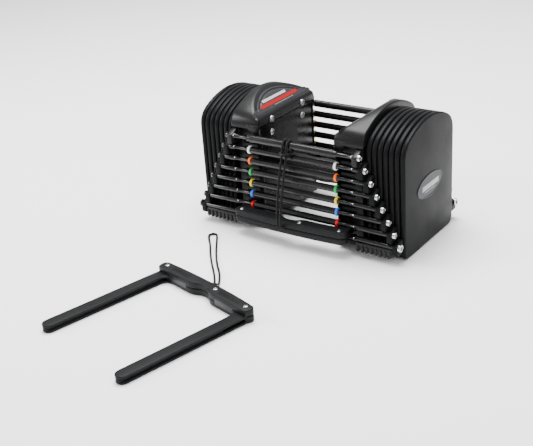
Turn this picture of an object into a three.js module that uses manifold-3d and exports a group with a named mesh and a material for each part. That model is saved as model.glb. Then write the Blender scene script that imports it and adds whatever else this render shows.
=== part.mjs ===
// Adjustable dumbbell: pairs of weight plates nest around a handle core, and a fork-shaped selector
// pin slides under the rails of the pairs that are to be lifted. A spare pin lies beside it.
// Millimetres, +Z up. X runs along the dumbbell and Y across it; everything stands on z = 0.
import * as THREE from 'three';
import { mergeVertices } from 'three/addons/utils/BufferGeometryUtils.js';
import Module from 'manifold-3d';

const wasm = await Module();
wasm.setup();

// ---------------------------------------------------------------- driving dimensions
const GAP = 0.3; // clearance between pieces that touch
const LEVELS = 8; // rail levels: 1 is the core's own, 2 to 8 are the seven weight pairs
const PITCH_X = 7.65; // each pair stands this much further out than the one inside it
const PITCH_Z = 15.32; // and its rails lie this much lower
const HALF_LENGTH = 153; // centre to the face of the outermost bolt heads
const RAIL_Y = 76.8;
const LOWEST_RAIL_Z = 23.5;

const PLATE = { halfWidth: 66, thickness: 6.5, behindBolt: 1, corner: 11, arch: 106, shoulder: 25 };
const LIFTED_PLATE_Z = 0.5; // the inner plates hang just clear of the floor
const ARCH_CENTRE_Z = 62;
const EAR = { thickness: 7, below: 11.3, frontTop: 1.5, above: 7.8, reach: 82.2, hole: 2.7 };
const BOLT = { head: 3.4, radius: 4.2, bigRadius: 5, shank: 2.4 };
const RAIL = { sleeve: 4.4, coreSleeve: 4.9, neck: 2.5, outer: 3.6, sleeveEnd: 65.3, neckEnd: 87 };
const RIBS = { from: 91, top: 20.5, bottom: 10, depth: 4.2, proud: 1.6, width: 3.6, count: 8 };

const HOOD = {
  inner: 56, outer: 98, halfWidth: 69.5, arch: 113.5, shoulder: 22, skirtZ: 131.3, backZ: 141.3, skirtTo: 66,
};
const SLOPE = { z: 151, rise: 0.7 }; // the badge face climbs outwards from the hood's inner edge
const PANEL = { inner: 57, outer: 60.2, top: 138.9, halfWidth: 61.2, rim: 56, rimTop: 131 };
const COLUMN = { inner: 60.5, spine: 82.5, outer: 92.5, halfWidth: 63, bottom: 6, slot: 10.3 };
const HANDLE = { z: 70, tube: 11.7, grip: 15.6, gripHalf: 54 };

const PIN = {
  thickness: 16.8, prong: 9.7, flange: 2.8, prongX: 74, prongHalf: 8, webHalf: 5.5, tipY: 85, windowEnd: -52,
};
const PIN_HANDLE = { back: -82, corner: 84, front: -97, bow: -100, notchHalf: 24, notch: 7 };
const PIN_SCREWS = [[-74, -90.5], [17, -92.5], [74, -90.5]];
const PIN_MAGNET = { from: 27, to: 60, depth: 2.2, low: -12.4, high: -4.4 };
const PIN_EXIT = { x: -4, half: 5, y: -93.5, z: -8.4, halfHeight: 2.2 };
const SPARE = { x: -34, y: -340, turn: THREE.MathUtils.degToRad(166) };
const CORD_RADIUS = 1.4;

const railZ = (level) => LOWEST_RAIL_Z + PITCH_Z * (LEVELS - level);
const boltX = (level) => HALF_LENGTH - PITCH_X * (LEVELS - level);
const PIN_TOP_Z = (railZ(7) + railZ(8) + PIN.prong) / 2; // the pin lies midway between two rails

// ---------------------------------------------------------------- helpers
function closed(geometry) {
  const bare = geometry.index ? geometry.clone() : geometry;
  bare.deleteAttribute('normal');
  bare.deleteAttribute('uv');
  const merged = mergeVertices(bare, 1e-4);
  const kept = [];
  for (let i = 0; i < merged.index.count; i += 3) {
    const [a, b, c] = [0, 1, 2].map((k) => merged.index.getX(i + k));
    if (a !== b && b !== c && c !== a) kept.push(a, b, c);
  }
  merged.setIndex(kept);
  return merged;
}

function solid(geometry) {
  const merged = closed(geometry);
  const vertProperties = Float32Array.from(merged.attributes.position.array);
  const triVerts = Uint32Array.from(merged.index.array);
  return new wasm.Manifold(new wasm.Mesh({ numProp: 3, vertProperties, triVerts }));
}

function geometryOf(manifold) {
  const mesh = manifold.getMesh();
  const geometry = new THREE.BufferGeometry();
  geometry.setAttribute('position', new THREE.BufferAttribute(mesh.vertProperties.slice(), 3));
  geometry.setIndex([...mesh.triVerts]);
  return geometry;
}

function box(low, high) {
  const size = high.map((h, k) => h - low[k]);
  const centre = high.map((h, k) => (h + low[k]) / 2);
  return new THREE.BoxGeometry(...size).translate(...centre);
}

const extrude = (shape, depth, curveSegments = 3) =>
  new THREE.ExtrudeGeometry(shape, { depth, bevelEnabled: false, curveSegments });

// a shape drawn in (y, z), standing from x = from to x = to
function alongX(shape, from, to, curveSegments) {
  const axes = new THREE.Matrix4().makeBasis(
    new THREE.Vector3(0, 1, 0), new THREE.Vector3(0, 0, 1), new THREE.Vector3(1, 0, 0));
  return extrude(shape, to - from, curveSegments).applyMatrix4(axes).translate(from, 0, 0);
}

// a shape drawn in (x, z), running from y = -half to y = half
const alongY = (shape, half) => extrude(shape, 2 * half).rotateX(Math.PI / 2).translate(0, half, 0);

function polygon(points) {
  return new THREE.Shape(points.map(([a, b]) => new THREE.Vector2(a, b)));
}

// a turned solid on the X axis from [position, radius] pairs
function turned(stations, sides) {
  const profile = stations.map(([x, r]) => new THREE.Vector2(r, x));
  return new THREE.LatheGeometry(profile, sides, Math.PI / sides).rotateZ(-Math.PI / 2);
}

const mirrored = (half) => [...half.map(([x, r]) => [-x, r]).reverse(), ...half];

const material = (color, roughness, metalness = 0) =>
  new THREE.MeshStandardMaterial({ color, roughness, metalness });

const part = new THREE.Group();

function add(name, geometry, finish, parent = part) {
  const mesh = new THREE.Mesh(geometry, finish);
  mesh.name = name;
  parent.add(mesh);
  return mesh;
}

// the left piece is the right one turned half round about the upright axis
function addBothSides(name, geometry, finish) {
  add(`${name}_right`, geometry, finish);
  add(`${name}_left`, geometry, finish).rotation.z = Math.PI;
}

// ---------------------------------------------------------------- weight plates with their rail ears
function archOutline(halfWidth, bottom, corner, arch, shoulder) {
  const y = halfWidth - shoulder;
  const z = ARCH_CENTRE_Z + Math.sqrt((arch - shoulder) ** 2 - y ** 2);
  const tilt = Math.atan2(z - ARCH_CENTRE_Z, y);
  const shape = new THREE.Shape();
  shape.moveTo(corner - halfWidth, bottom);
  shape.lineTo(halfWidth - corner, bottom);
  if (corner) shape.absarc(halfWidth - corner, bottom + corner, corner, -Math.PI / 2, 0);
  shape.absarc(y, z, shoulder, 0, tilt);
  shape.absarc(0, ARCH_CENTRE_Z, arch, tilt, Math.PI - tilt);
  shape.absarc(-y, z, shoulder, Math.PI - tilt, Math.PI);
  if (corner) shape.absarc(corner - halfWidth, bottom + corner, corner, Math.PI, Math.PI * 1.5);
  return shape;
}

function withEars(base, level, tieFrom, tieTo) {
  const outer = boltX(level) - BOLT.head;
  const inner = outer - EAR.thickness;
  const z = railZ(level);
  const edge = PLATE.halfWidth + GAP;
  const tieBack = 6 - PLATE.halfWidth; // the tie reaches this far in under the plate
  const ear = polygon([
    [-EAR.reach, z - EAR.below + 2], [-EAR.reach + 2, z - EAR.below], [-edge, z - EAR.below],
    [-edge, z + EAR.above], [-edge - 4, z + EAR.above], [-EAR.reach, z + EAR.frontTop],
  ]);
  let body = base;
  for (const rear of [false, true]) {
    const place = (geometry) => (rear ? reversed(geometry.scale(1, -1, 1)) : geometry);
    const tie = box([tieFrom, -edge - 1, z - EAR.below], [tieTo, tieBack, z + EAR.above - 1]);
    const hole = new THREE.CylinderGeometry(EAR.hole, EAR.hole, 3 * EAR.thickness, 8)
      .rotateZ(Math.PI / 2).translate(outer, rear ? RAIL_Y : -RAIL_Y, z);
    body = body.add(solid(place(alongX(ear, inner, outer)))).add(solid(place(tie))).subtract(solid(hole));
  }
  return body;
}

// turns a mirrored geometry's faces outwards again
function reversed(geometry) {
  const out = closed(geometry);
  const order = [...out.index.array];
  for (let i = 0; i < order.length; i += 3) [order[i], order[i + 1]] = [order[i + 1], order[i]];
  out.setIndex(order);
  return out;
}

const urethane = () => material(0x3d3e41, 0.5);
const blackMetal = () => material(0x1a1a1c, 0.35, 0.2);

for (let level = 2; level <= LEVELS; level += 1) {
  const outer = boltX(level) - PLATE.behindBolt;
  const inner = outer - PLATE.thickness;
  const bottom = level === LEVELS ? 0 : LIFTED_PLATE_Z;
  const outline = archOutline(PLATE.halfWidth, bottom, PLATE.corner, PLATE.arch, PLATE.shoulder);
  const plate = solid(alongX(outline, inner, outer));
  const ears = withEars(plate, level, inner, boltX(level) - BOLT.head);
  addBothSides(`plate_${level - 1}`, geometryOf(ears), urethane());
}

// ---------------------------------------------------------------- rails with their cap screws
function rail(level) {
  const end = boltX(level);
  const earOuter = end - BOLT.head;
  const earInner = earOuter - EAR.thickness;
  const head = level === LEVELS ? BOLT.bigRadius : BOLT.radius;
  const sleeve = level === 1 ? RAIL.coreSleeve : RAIL.sleeve;
  const neckEnd = Math.min(RAIL.neckEnd, earInner - GAP - 2.5);
  const stations = mirrored([
    [RAIL.sleeveEnd, sleeve], [RAIL.sleeveEnd, RAIL.neck], [neckEnd, RAIL.neck],
    [neckEnd + 2, RAIL.outer], [earInner - GAP, RAIL.outer],
    [earInner - GAP, BOLT.shank], [earOuter + GAP, BOLT.shank],
    [earOuter + GAP, head], [end, head], [end, 0],
  ]);
  return turned(stations, 8).translate(0, -RAIL_Y, railZ(level));
}

// the lowest rail carries a ribbed foot guide under each outer stretch
function ribbedRail() {
  const to = boltX(LEVELS) - BOLT.head - EAR.thickness - GAP;
  const front = -RAIL_Y - RIBS.depth;
  const back = -RAIL_Y + RIBS.depth;
  const pitch = (to - RIBS.from) / RIBS.count;
  let body = solid(rail(LEVELS));
  for (const side of [-1, 1]) {
    const span = (from, until) => [side * from, side * until].sort((p, q) => p - q);
    const [low, high] = span(RIBS.from, to);
    body = body.add(solid(box([low, front, RIBS.bottom], [high, back, RIBS.top])));
    for (let i = 0; i < RIBS.count; i += 1) {
      const middle = RIBS.from + (i + 0.5) * pitch;
      const [a, b] = span(middle - RIBS.width / 2, middle + RIBS.width / 2);
      const low2 = [a, front - RIBS.proud, RIBS.bottom - RIBS.proud];
      body = body.add(solid(box(low2, [b, back, RIBS.top - 3])));
    }
  }
  return geometryOf(body);
}

for (let level = 1; level <= LEVELS; level += 1) {
  const geometry = level === LEVELS ? ribbedRail() : closed(rail(level));
  const stem = level === 1 ? 'core_rail' : `rail_${level - 1}`;
  add(`${stem}_front`, geometry, blackMetal());
  add(`${stem}_rear`, geometry, blackMetal()).rotation.z = Math.PI;
}

// ---------------------------------------------------------------- handle core
// slotted column: the pin's prongs slide through it under any rail
const comb = [[COLUMN.outer, HOOD.backZ - GAP], [COLUMN.inner + 6, HOOD.backZ - GAP],
  [COLUMN.inner + 6, HOOD.skirtZ - GAP], [COLUMN.inner, HOOD.skirtZ - GAP]];
for (let level = 1; level <= LEVELS; level += 1) {
  const middle = railZ(level) - PITCH_Z / 2;
  for (const z of [middle + COLUMN.slot / 2, middle - COLUMN.slot / 2]) {
    comb.push(...(z > middle ? [[COLUMN.inner, z], [COLUMN.spine, z]]
      : [[COLUMN.spine, z], [COLUMN.inner, z]]));
  }
}
comb.push([COLUMN.inner, COLUMN.bottom], [COLUMN.outer, COLUMN.bottom]);
const columnBody = solid(alongY(polygon(comb), COLUMN.halfWidth));
const earTie = boltX(1) - BOLT.head;
const hoodCut = solid(box([0, -70, HOOD.skirtZ - GAP], [COLUMN.inner + 6, 70, 180]));
const hoodClear = solid(box([0, -PLATE.halfWidth - GAP, HOOD.backZ - GAP],
  [120, PLATE.halfWidth + GAP, 180]));
const column = withEars(columnBody, 1, COLUMN.outer - 6, earTie).subtract(hoodCut).subtract(hoodClear);
addBothSides('core_column', geometryOf(column), blackMetal());

// moulded hood with a sloping D-shaped badge face
function hoodOutline(inset) {
  const { halfWidth, skirtZ, arch, shoulder } = HOOD;
  return archOutline(halfWidth - inset, skirtZ, 0, arch - inset, shoulder - inset);
}
const slopeTop = 190; // above the hood's crown
const slopeCut = solid(alongY(polygon([
  [HOOD.inner - 2, SLOPE.z - 2 * SLOPE.rise],
  [HOOD.inner + (slopeTop - SLOPE.z) / SLOPE.rise, slopeTop], [HOOD.inner - 2, slopeTop],
]), 80));
const badge = { z: 2.2, edge: 5 }; // the badge's thickness, and the rim left around it
const hood = solid(alongX(hoodOutline(0), HOOD.inner, HOOD.outer, 5))
  .subtract(slopeCut)
  .subtract(solid(box([HOOD.skirtTo, -80, 120], [HOOD.outer + 1, 80, HOOD.backZ])))
  .subtract(solid(box([HOOD.inner - 1, -PANEL.halfWidth - GAP, 120],
    [COLUMN.inner, PANEL.halfWidth + GAP, PANEL.top + GAP])));

// D-shaped badge: the slope's own outline drawn in, sunk into the hood
const slopeLine = Math.atan(SLOPE.rise);
const slab = (depth, inset) => solid(box([0, -80, -depth], [60, 80, 0.4])
  .translate(inset, 0, 0).rotateY(-slopeLine).translate(HOOD.inner, 0, SLOPE.z));
const badgeColumn = (inset, end) => solid(alongX(hoodOutline(inset), HOOD.inner + 2, end, 5));
const pocket = badgeColumn(badge.edge - GAP, HOOD.outer - 4)
  .intersect(slab(badge.z + GAP, badge.edge - GAP));
addBothSides('core_hood', geometryOf(hood.subtract(pocket)), material(0x2c2d2f, 0.45));
const plaque = badgeColumn(badge.edge, HOOD.outer - 4 - GAP)
  .intersect(slab(badge.z, badge.edge))
  .subtract(slopeCut.translate([0, 0, -0.3]));
addBothSides('core_badge', geometryOf(plaque), material(0x4a4b4f, 0.35));

// inner wall panel with raised side rims and a hole for the handle tube
const panelHole = new THREE.CylinderGeometry(HANDLE.tube + GAP, HANDLE.tube + GAP, 20, 16)
  .rotateZ(Math.PI / 2).translate(PANEL.outer, 0, HANDLE.z);
const panel = solid(box([PANEL.inner, -PANEL.halfWidth, COLUMN.bottom],
  [PANEL.outer, PANEL.halfWidth, PANEL.top]))
  .add(solid(box([PANEL.rim, -PLATE.halfWidth, COLUMN.bottom],
    [PANEL.outer, -PANEL.halfWidth + 0.5, PANEL.rimTop])))
  .add(solid(box([PANEL.rim, PANEL.halfWidth - 0.5, COLUMN.bottom],
    [PANEL.outer, PLATE.halfWidth, PANEL.rimTop])))
  .subtract(solid(panelHole));
addBothSides('core_panel', geometryOf(panel), material(0x0b0b0d, 0.15));

// steel handle tube under a contoured grip
add('handle_tube', closed(turned(mirrored([[COLUMN.inner - GAP, HANDLE.tube], [COLUMN.inner - GAP, 0]]), 16)
  .translate(0, 0, HANDLE.z)), material(0x9a9a9c, 0.3, 1));
const bore = HANDLE.tube + GAP;
const gripSkin = [
  [18, HANDLE.grip - 0.8], [36, HANDLE.grip - 1.6], [48, HANDLE.grip], [HANDLE.gripHalf, HANDLE.grip - 1],
];
const gripStations = [[-HANDLE.gripHalf, bore], ...mirrored(gripSkin), [HANDLE.gripHalf, bore],
  [-HANDLE.gripHalf, bore]];
gripStations.splice(1 + gripSkin.length, 0, [0, HANDLE.grip]);
add('handle_grip', closed(turned(gripStations, 16).translate(0, 0, HANDLE.z)), material(0x17171a, 0.75));

// oval badge sunk flush in each end plate's face
const oval = new THREE.Shape().absellipse(0, 78.6, 34, 15, 0, Math.PI * 2);
const endFace = HALF_LENGTH - PLATE.behindBolt;
addBothSides('end_badge', closed(alongX(oval, endFace + GAP, endFace + 1.2, 12)), material(0x55585c, 0.4));

// ---------------------------------------------------------------- selector pin, flat face at z = 0
function forkOutline(half, from) {
  const inner = PIN.prongX - half;
  const outer = PIN.prongX + half;
  const tip = PIN.tipY - half;
  const shape = new THREE.Shape();
  shape.moveTo(outer, from);
  shape.lineTo(outer, tip);
  shape.absarc(PIN.prongX, tip, half, 0, Math.PI);
  shape.lineTo(inner, from);
  return shape;
}

function handleOutline() {
  const { back, corner, front, bow, notchHalf, notch } = PIN_HANDLE;
  const edge = PIN.prongX + PIN.prongHalf;
  const round = 7;
  const shape = new THREE.Shape();
  shape.moveTo(edge, back);
  shape.lineTo(corner, back - 3);
  shape.absarc(corner - round, front + round, round, 0, -Math.PI / 2, true);
  shape.quadraticCurveTo(0, 2 * bow - front, round - corner, front);
  shape.absarc(round - corner, front + round, round, -Math.PI / 2, -Math.PI, true);
  shape.lineTo(-edge, back);
  shape.lineTo(-notchHalf, back);
  shape.bezierCurveTo(-notchHalf / 2, back, -notchHalf / 2, back - notch, 0, back - notch);
  shape.bezierCurveTo(notchHalf / 2, back - notch, notchHalf / 2, back, notchHalf, back);
  return shape;
}

const slabZ = (shape, low, high, segments = 3) => extrude(shape, high - low, segments).translate(0, 0, low);

function shell(upper) {
  const seam = PIN.thickness / 2;
  const middle = PIN.prong / 2;
  const [low, high] = upper ? [-seam + GAP / 2, 0] : [-PIN.thickness, -seam - GAP / 2];
  const flange = upper ? [-PIN.flange, 0] : [-PIN.prong, PIN.flange - PIN.prong];
  const web = upper
    ? [-middle + GAP / 2, -PIN.flange + 0.1]
    : [PIN.flange - PIN.prong - 0.1, -middle - GAP / 2];
  const start = upper ? PIN_HANDLE.back - 2 : PIN_HANDLE.back + GAP;
  let body = solid(slabZ(handleOutline(), low, high, 4));
  for (const side of [1, -1]) {
    const place = (geometry) => (side < 0 ? reversed(geometry.scale(-1, 1, 1)) : geometry);
    body = body.add(solid(place(slabZ(forkOutline(PIN.prongHalf, start), ...flange))));
    body = body.add(solid(place(slabZ(forkOutline(PIN.webHalf, PIN.windowEnd), ...web))));
    if (!upper) {
      const neck = box([PIN.prongX - PIN.prongHalf, PIN_HANDLE.back - 2, -PIN.prong],
        [PIN.prongX + PIN.prongHalf, PIN_HANDLE.back + 2, low < -seam ? high : low]);
      body = body.add(solid(place(neck)));
    }
    const [from, to] = [side * (PIN_MAGNET.from - GAP), side * (PIN_MAGNET.to + GAP)].sort((p, q) => p - q);
    body = body.subtract(solid(box(
      [from, PIN_HANDLE.back - PIN_MAGNET.depth - GAP, PIN_MAGNET.low - GAP],
      [to, PIN_HANDLE.back + 1, PIN_MAGNET.high + GAP])));
  }
  for (const [x, y] of PIN_SCREWS) {
    const hole = new THREE.CylinderGeometry(3.4, 3.4, 60, 10).rotateX(Math.PI / 2).translate(x, y, 0);
    body = body.subtract(solid(hole));
  }
  return body.subtract(solid(box(
    [PIN_EXIT.x - PIN_EXIT.half, PIN_HANDLE.bow - 5, PIN_EXIT.z - PIN_EXIT.halfHeight],
    [PIN_EXIT.x + PIN_EXIT.half, PIN_EXIT.y, PIN_EXIT.z + PIN_EXIT.halfHeight])));
}

const upperShell = geometryOf(shell(true));
const lowerShell = geometryOf(shell(false));
const slate = () => material(0x3c4043, 0.55);

function addPin(prefix, group) {
  add(`${prefix}_upper_shell`, upperShell, slate(), group);
  add(`${prefix}_lower_shell`, lowerShell, slate(), group);
  for (const [side, label] of [[-1, 'left'], [1, 'right']]) {
    const [from, to] = [side * PIN_MAGNET.from, side * PIN_MAGNET.to].sort((p, q) => p - q);
    add(`${prefix}_magnet_${label}`, box([from, PIN_HANDLE.back - PIN_MAGNET.depth, PIN_MAGNET.low],
      [to, PIN_HANDLE.back - 0.2, PIN_MAGNET.high]), material(0x8d8f92, 0.4, 0.6), group);
  }
  PIN_SCREWS.forEach(([x, y], i) => {
    const screw = new THREE.CylinderGeometry(3.1, 3.1, PIN.thickness - 0.4, 10)
      .rotateX(Math.PI / 2).translate(x, y, -PIN.thickness / 2);
    add(`${prefix}_screw_${i + 1}`, screw, material(0xd5d6d8, 0.25, 1), group);
  });
  part.add(group);
}

const fitted = new THREE.Group();
fitted.position.z = PIN_TOP_Z;
addPin('pin', fitted);

const spare = new THREE.Group(); // turned over, so it lies on its flat face
spare.position.set(SPARE.x, SPARE.y, 0);
spare.rotation.set(0, Math.PI, SPARE.turn, 'ZYX');
addPin('spare', spare);

// ---------------------------------------------------------------- elastic lanyards
function cord(points, steps) {
  const places = points.map((p) => new THREE.Vector3(...p));
  const path = new THREE.CatmullRomCurve3(places, false, 'centripetal');
  const section = new THREE.Shape().absarc(0, 0, CORD_RADIUS, 0, Math.PI * 2);
  return closed(new THREE.ExtrudeGeometry(section, { steps, extrudePath: path, curveSegments: 4 }));
}

// up from the pin, hitched round the core's front rail, and back down to the pin
const LANYARD = [
  [-5.7, -95.5, 27.7], [-5.7, -101, 27.7], [-6, -105.4, 29.6], [-6.6, -107.3, 35], [-7.4, -105.6, 50],
  [-8.2, -98.5, 80], [-8.6, -90, 108], [-8.7, -85.2, 122], [-8.6, -83.7, 131.5],
  [-8.7, -79.9, 137], [-8.9, -74.2, 137.2], [-9.6, -70, 131], [-11, -71.8, 125.3], [-12, -76.8, 123.1],
  [-11.9, -82.4, 122.4], [-9.9, -87, 122.3], [-5.5, -89, 122.3], [-1.1, -87, 122.3],
  [0.9, -82.4, 122.4], [1, -76.8, 123.1], [0, -71.8, 125.3], [-1.4, -70, 131],
  [-2.1, -74.2, 137.2], [-2.3, -79.9, 137], [-2.4, -83.7, 131.5],
  [-2.3, -85.2, 122], [-2.2, -90, 108], [-2, -98.5, 80], [-2.1, -105.6, 50], [-2.2, -107.3, 35],
  [-2.3, -105.4, 29.6], [-2.3, -101, 27.7], [-2.3, -95.5, 27.7],
];
add('lanyard', cord(LANYARD, 80), material(0x1b1b1c, 0.8));

// out of the spare pin's slot, down to the floor and back in one narrow loop
const SPARE_LANYARD = [
  [-15.3, -240.5, 8.4], [-14.2, -235.5, 8.2], [-14, -229, 5.6], [-16, -223, 2.4], [-21, -215, 1.5],
  [-33, -199, 1.5], [-50, -181, 1.5], [-69, -158, 1.5], [-86, -135, 1.5], [-99.5, -116.5, 1.5],
  [-103.5, -113, 1.5], [-108.4, -113.7, 1.5], [-110.3, -118.3, 1.5], [-108, -123, 1.5],
  [-92, -141, 1.5], [-74, -163.5, 1.5], [-56, -184, 1.5], [-39, -202, 1.5], [-26.5, -217, 1.5],
  [-20.8, -225, 2.4], [-18.4, -230.5, 5.6], [-18.1, -236, 8.2], [-18.6, -240.7, 8.4],
];
add('spare_lanyard', cord(SPARE_LANYARD, 60), material(0x1b1b1c, 0.8));

// ---------------------------------------------------------------- origin: under the middle of the set
part.updateMatrixWorld(true);
const extent = new THREE.Box3();
for (const mesh of part.children) {
  if (mesh.name !== 'lanyard' && mesh.name !== 'spare_lanyard') extent.expandByObject(mesh, true);
}
part.position.y = -(extent.min.y + extent.max.y) / 2;

export default part;
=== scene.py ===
import math

import bmesh
import bpy
from mathutils import Matrix, Vector


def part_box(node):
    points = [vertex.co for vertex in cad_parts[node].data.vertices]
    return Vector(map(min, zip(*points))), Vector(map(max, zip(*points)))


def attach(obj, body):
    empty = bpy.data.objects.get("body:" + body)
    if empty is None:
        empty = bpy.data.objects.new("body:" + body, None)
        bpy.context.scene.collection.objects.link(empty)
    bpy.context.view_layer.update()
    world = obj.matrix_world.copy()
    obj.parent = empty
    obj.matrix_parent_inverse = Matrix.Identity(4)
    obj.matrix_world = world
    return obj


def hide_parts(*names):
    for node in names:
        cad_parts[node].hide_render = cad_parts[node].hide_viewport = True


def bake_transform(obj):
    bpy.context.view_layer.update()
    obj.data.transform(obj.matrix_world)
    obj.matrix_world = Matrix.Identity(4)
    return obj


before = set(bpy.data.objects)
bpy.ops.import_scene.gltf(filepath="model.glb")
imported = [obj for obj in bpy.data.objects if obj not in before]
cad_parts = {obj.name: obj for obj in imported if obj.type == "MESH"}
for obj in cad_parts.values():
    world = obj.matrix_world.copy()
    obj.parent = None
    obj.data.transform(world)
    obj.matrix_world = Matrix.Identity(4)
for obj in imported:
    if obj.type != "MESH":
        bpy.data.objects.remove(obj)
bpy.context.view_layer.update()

# ------------------------------------------------------------------ where things are
# The dumbbell's middle lies behind the frame's origin, because the spare pin lies in front of it.
# Lengths are written in millimetres from that middle, and MM turns them into metres.
MM = 0.001
end_low, end_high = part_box("plate_7_right")
middle_y = (end_low.y + end_high.y) / 2


def here(x, y, z):
    """A point given in millimetres from the dumbbell's middle, on the floor."""
    return Vector((x * MM, y * MM + middle_y, z * MM))


# ------------------------------------------------------------------ camera
# It stands in front of the right end and looks down on the dumbbell, turned a little in its own plane.
view_turn, view_tilt, view_roll = math.radians(36.41), math.radians(25.1), math.radians(-4.02)
level_right = Vector((math.cos(view_turn), math.sin(view_turn), 0))
view_back = Vector((math.sin(view_turn) * math.cos(view_tilt),
                    -math.cos(view_turn) * math.cos(view_tilt), math.sin(view_tilt)))
level_up = view_back.cross(level_right)
view_right = level_right * math.cos(view_roll) + level_up * math.sin(view_roll)
view_up = level_up * math.cos(view_roll) - level_right * math.sin(view_roll)
camera = bpy.data.objects.new("camera", bpy.data.cameras.new("camera"))
bpy.context.scene.collection.objects.link(camera)
camera.matrix_world = (Matrix.Translation(here(667.3, -1044.2, 578.2))
                       @ Matrix((view_right, view_up, view_back)).transposed().to_4x4())
camera.data.lens = 68.2
camera.data.clip_start = 0.05
bpy.context.scene.camera = camera


# ------------------------------------------------------------------ elastic lanyards
# Round braided elastic cord in one loop. The fitted pin's loop is hitched round the core's front rail,
# and the spare pin's lies on the floor. Both ends are knotted inside the pin's handle.
cord_thick = 2.8 * MM


def braid_group():
    """A round braid: crossing strands that give a height and a slightly lighter thread colour."""
    group = bpy.data.node_groups.new("braid", "ShaderNodeTree")
    for name, kind in (("Scale", "NodeSocketFloat"), ("Dark", "NodeSocketColor"),
                       ("Light", "NodeSocketColor")):
        group.interface.new_socket(name=name, in_out="INPUT", socket_type=kind)
    group.interface.new_socket(name="Colour", in_out="OUTPUT", socket_type="NodeSocketColor")
    group.interface.new_socket(name="Height", in_out="OUTPUT", socket_type="NodeSocketFloat")
    nodes, links = group.nodes, group.links
    inside, outside = nodes.new("NodeGroupInput"), nodes.new("NodeGroupOutput")
    place = nodes.new("ShaderNodeTexCoord")
    waves = []
    for turn in (0.7, -0.7):
        mapping = nodes.new("ShaderNodeMapping")
        mapping.inputs["Rotation"].default_value = (turn, turn, 0)
        wave = nodes.new("ShaderNodeTexWave")
        links.new(place.outputs["Object"], mapping.inputs["Vector"])
        links.new(mapping.outputs["Vector"], wave.inputs["Vector"])
        links.new(inside.outputs["Scale"], wave.inputs["Scale"])
        waves.append(wave)
    both = nodes.new("ShaderNodeMath")
    both.operation = "MULTIPLY"
    mix = nodes.new("ShaderNodeMix")
    mix.data_type = "RGBA"
    for k, wave in enumerate(waves):
        links.new(wave.outputs["Fac"], both.inputs[k])
    links.new(both.outputs[0], mix.inputs["Factor"])
    links.new(inside.outputs["Dark"], mix.inputs["A"])
    links.new(inside.outputs["Light"], mix.inputs["B"])
    links.new(mix.outputs["Result"], outside.inputs["Colour"])
    links.new(both.outputs[0], outside.inputs["Height"])
    return group


def new_material(name):
    """An empty node material with its Principled shader."""
    material = bpy.data.materials.new(name)
    material.use_nodes = True
    return material, material.node_tree, material.node_tree.nodes["Principled BSDF"]


cord_material, tree, shader = new_material("elastic_cord")
shader.inputs["Roughness"].default_value = 0.75
shader.inputs["Specular IOR Level"].default_value = 0.1
shader.inputs["Sheen Weight"].default_value = 0.06
braid = tree.nodes.new("ShaderNodeGroup")
braid.node_tree = braid_group()
braid.inputs["Scale"].default_value = 900
braid.inputs["Dark"].default_value = (0.004, 0.004, 0.0045, 1)
braid.inputs["Light"].default_value = (0.01, 0.01, 0.011, 1)
bump = tree.nodes.new("ShaderNodeBump")
bump.inputs["Strength"].default_value = 0.5
bump.inputs["Distance"].default_value = 0.3 * MM
tree.links.new(braid.outputs["Colour"], shader.inputs["Base Color"])
tree.links.new(braid.outputs["Height"], bump.inputs["Height"])
tree.links.new(bump.outputs["Normal"], shader.inputs["Normal"])


def smooth_line(points, steps=8):
    """A centripetal Catmull-Rom line through the points."""
    points = [points[0] * 2 - points[1], *points, points[-1] * 2 - points[-2]]
    line = []
    for a, b, c, d in zip(points, points[1:], points[2:], points[3:]):
        t1 = (b - a).length ** 0.5
        t2 = t1 + (c - b).length ** 0.5
        t3 = t2 + (d - c).length ** 0.5
        for k in range(steps):
            t = t1 + (t2 - t1) * k / steps
            ab = a * (1 - t / t1) + b * (t / t1)
            bc = b * ((t2 - t) / (t2 - t1)) + c * ((t - t1) / (t2 - t1))
            cd = c * ((t3 - t) / (t3 - t2)) + d * ((t - t2) / (t3 - t2))
            abc = ab * ((t2 - t) / t2) + bc * (t / t2)
            bcd = bc * ((t3 - t) / (t3 - t1)) + cd * ((t - t1) / (t3 - t1))
            line.append(abc * ((t2 - t) / (t2 - t1)) + bcd * ((t - t1) / (t2 - t1)))
    return [*line, points[-2]]


def lanyard(name, route, body):
    """A cord along a route of points in millimetres, riding on a body and standing for its CAD node."""
    line = smooth_line([here(*p) for p in route])
    curve = bpy.data.curves.new(name, "CURVE")
    curve.dimensions = "3D"
    curve.bevel_depth = cord_thick / 2
    curve.bevel_resolution = 4
    curve.use_fill_caps = True
    spline = curve.splines.new("POLY")
    spline.points.add(len(line) - 1)
    for point, place in zip(spline.points, line):
        point.co = (*place, 1)
    curve.materials.append(cord_material)
    cord = bpy.data.objects.new(name + "_cord", curve)
    bpy.context.scene.collection.objects.link(cord)
    if not body:
        mesh = bpy.data.meshes.new_from_object(cord.evaluated_get(bpy.context.evaluated_depsgraph_get()))
        bpy.data.objects.remove(cord)
        cord = bpy.data.objects.new(name + "_cord", mesh)
        bpy.context.scene.collection.objects.link(cord)
        for face in mesh.polygons:
            face.use_smooth = True
    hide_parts(name)
    if body:
        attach(cord, body)
    return cord, line, sum((b - a).length for a, b in zip(line, line[1:]))


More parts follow.
